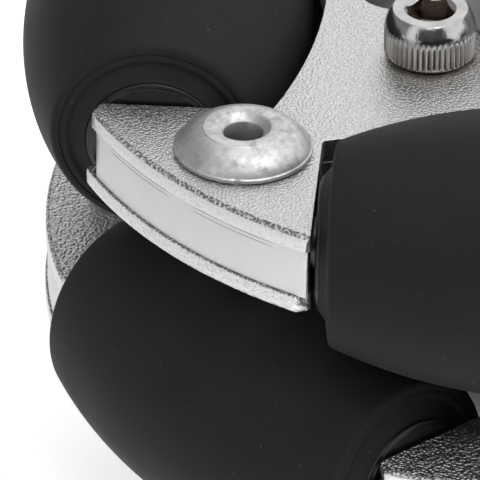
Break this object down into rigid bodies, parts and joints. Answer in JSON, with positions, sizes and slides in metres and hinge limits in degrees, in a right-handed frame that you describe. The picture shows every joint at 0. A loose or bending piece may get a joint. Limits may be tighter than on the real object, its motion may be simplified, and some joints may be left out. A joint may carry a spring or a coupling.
{
  "type": "omni wheel",
  "caption": "Double-row omni wheel: riveted metal plates carry free-spinning barrel rollers, the rows turned half a pitch apart on a flanged hub.",
  "frame": {"origin": "on the axle, on the plane midway between the two rows of rollers", "axes": "+Z along the axle, towards the side where the hub's boss stands out; -Y through the middle of one plate lobe of the upper row"},
  "size_m": [0.1016, 0.1016, 0.0496],
  "materials": {
    "blasted_aluminium": "bead-blasted, fine sparkling grain",
    "machined_aluminium": "plain cut edge, smooth",
    "rivet_aluminium": "matt, slightly scuffed by the setting tool",
    "mandrel_steel": "broken stem, grey",
    "hub_aluminium": "turned, smooth satin",
    "screw_steel": "bright stainless steel, knurled head",
    "set_screw_steel": "blackened steel",
    "pin_steel": "ground",
    "bronze": "sintered bronze",
    "core_plastic": "black moulded plastic",
    "rubber": "matt black, soft grey sheen"
  },
  "bodies": {
    "frame": {"hub": "hub_aluminium", "set_screws": "set_screw_steel", "upper_screws": "screw_steel", "upper_outer_plate": "blasted_aluminium", "upper_spacer_plate": "machined_aluminium", "upper_inner_plate": "blasted_aluminium", "upper_rivets": "rivet_aluminium", "upper_rivet_mandrels": "mandrel_steel", "upper_pin_1": "pin_steel", "upper_pin_2": "pin_steel", "upper_pin_3": "pin_steel", "upper_pin_4": "pin_steel", "lower_screws": "screw_steel", "lower_outer_plate": "blasted_aluminium", "lower_spacer_plate": "machined_aluminium", "lower_inner_plate": "blasted_aluminium", "lower_rivets": "rivet_aluminium", "lower_rivet_mandrels": "mandrel_steel", "lower_pin_1": "pin_steel", "lower_pin_2": "pin_steel", "lower_pin_3": "pin_steel", "lower_pin_4": "pin_steel"},
    "upper_roller_1": {"upper_tread_1": "rubber", "upper_core_1": "core_plastic", "upper_bushes_1": "bronze"},
    "upper_roller_2": {"upper_tread_2": "rubber", "upper_core_2": "core_plastic", "upper_bushes_2": "bronze"},
    "upper_roller_3": {"upper_tread_3": "rubber", "upper_core_3": "core_plastic", "upper_bushes_3": "bronze"},
    "upper_roller_4": {"upper_tread_4": "rubber", "upper_core_4": "core_plastic", "upper_bushes_4": "bronze"},
    "lower_roller_1": {"lower_tread_1": "rubber", "lower_core_1": "core_plastic", "lower_bushes_1": "bronze"},
    "lower_roller_2": {"lower_tread_2": "rubber", "lower_core_2": "core_plastic", "lower_bushes_2": "bronze"},
    "lower_roller_3": {"lower_tread_3": "rubber", "lower_core_3": "core_plastic", "lower_bushes_3": "bronze"},
    "lower_roller_4": {"lower_tread_4": "rubber", "lower_core_4": "core_plastic", "lower_bushes_4": "bronze"}
  },
  "joints": [
    {"name": "upper_roller_1_spin", "type": "hinge", "parent": "frame", "child": "upper_roller_1", "pos_m": [0.02645, -0.02645, 0.0114], "axis": [0.7071, 0.7071, 0], "continuous": true},
    {"name": "upper_roller_2_spin", "type": "hinge", "parent": "frame", "child": "upper_roller_2", "pos_m": [0.02645, 0.02645, 0.0114], "axis": [-0.7071, 0.7071, 0], "continuous": true},
    {"name": "upper_roller_3_spin", "type": "hinge", "parent": "frame", "child": "upper_roller_3", "pos_m": [-0.02645, 0.02645, 0.0114], "axis": [-0.7071, -0.7071, 0], "continuous": true},
    {"name": "upper_roller_4_spin", "type": "hinge", "parent": "frame", "child": "upper_roller_4", "pos_m": [-0.02645, -0.02645, 0.0114], "axis": [0.7071, -0.7071, 0], "continuous": true},
    {"name": "lower_roller_1_spin", "type": "hinge", "parent": "frame", "child": "lower_roller_1", "pos_m": [0, 0.0374, -0.0114], "axis": [-1, 0, 0], "continuous": true},
    {"name": "lower_roller_2_spin", "type": "hinge", "parent": "frame", "child": "lower_roller_2", "pos_m": [0.0374, 0, -0.0114], "axis": [0, 1, 0], "continuous": true},
    {"name": "lower_roller_3_spin", "type": "hinge", "parent": "frame", "child": "lower_roller_3", "pos_m": [0, -0.0374, -0.0114], "axis": [1, 0, 0], "continuous": true},
    {"name": "lower_roller_4_spin", "type": "hinge", "parent": "frame", "child": "lower_roller_4", "pos_m": [-0.0374, 0, -0.0114], "axis": [0, -1, 0], "continuous": true}
  ]
}
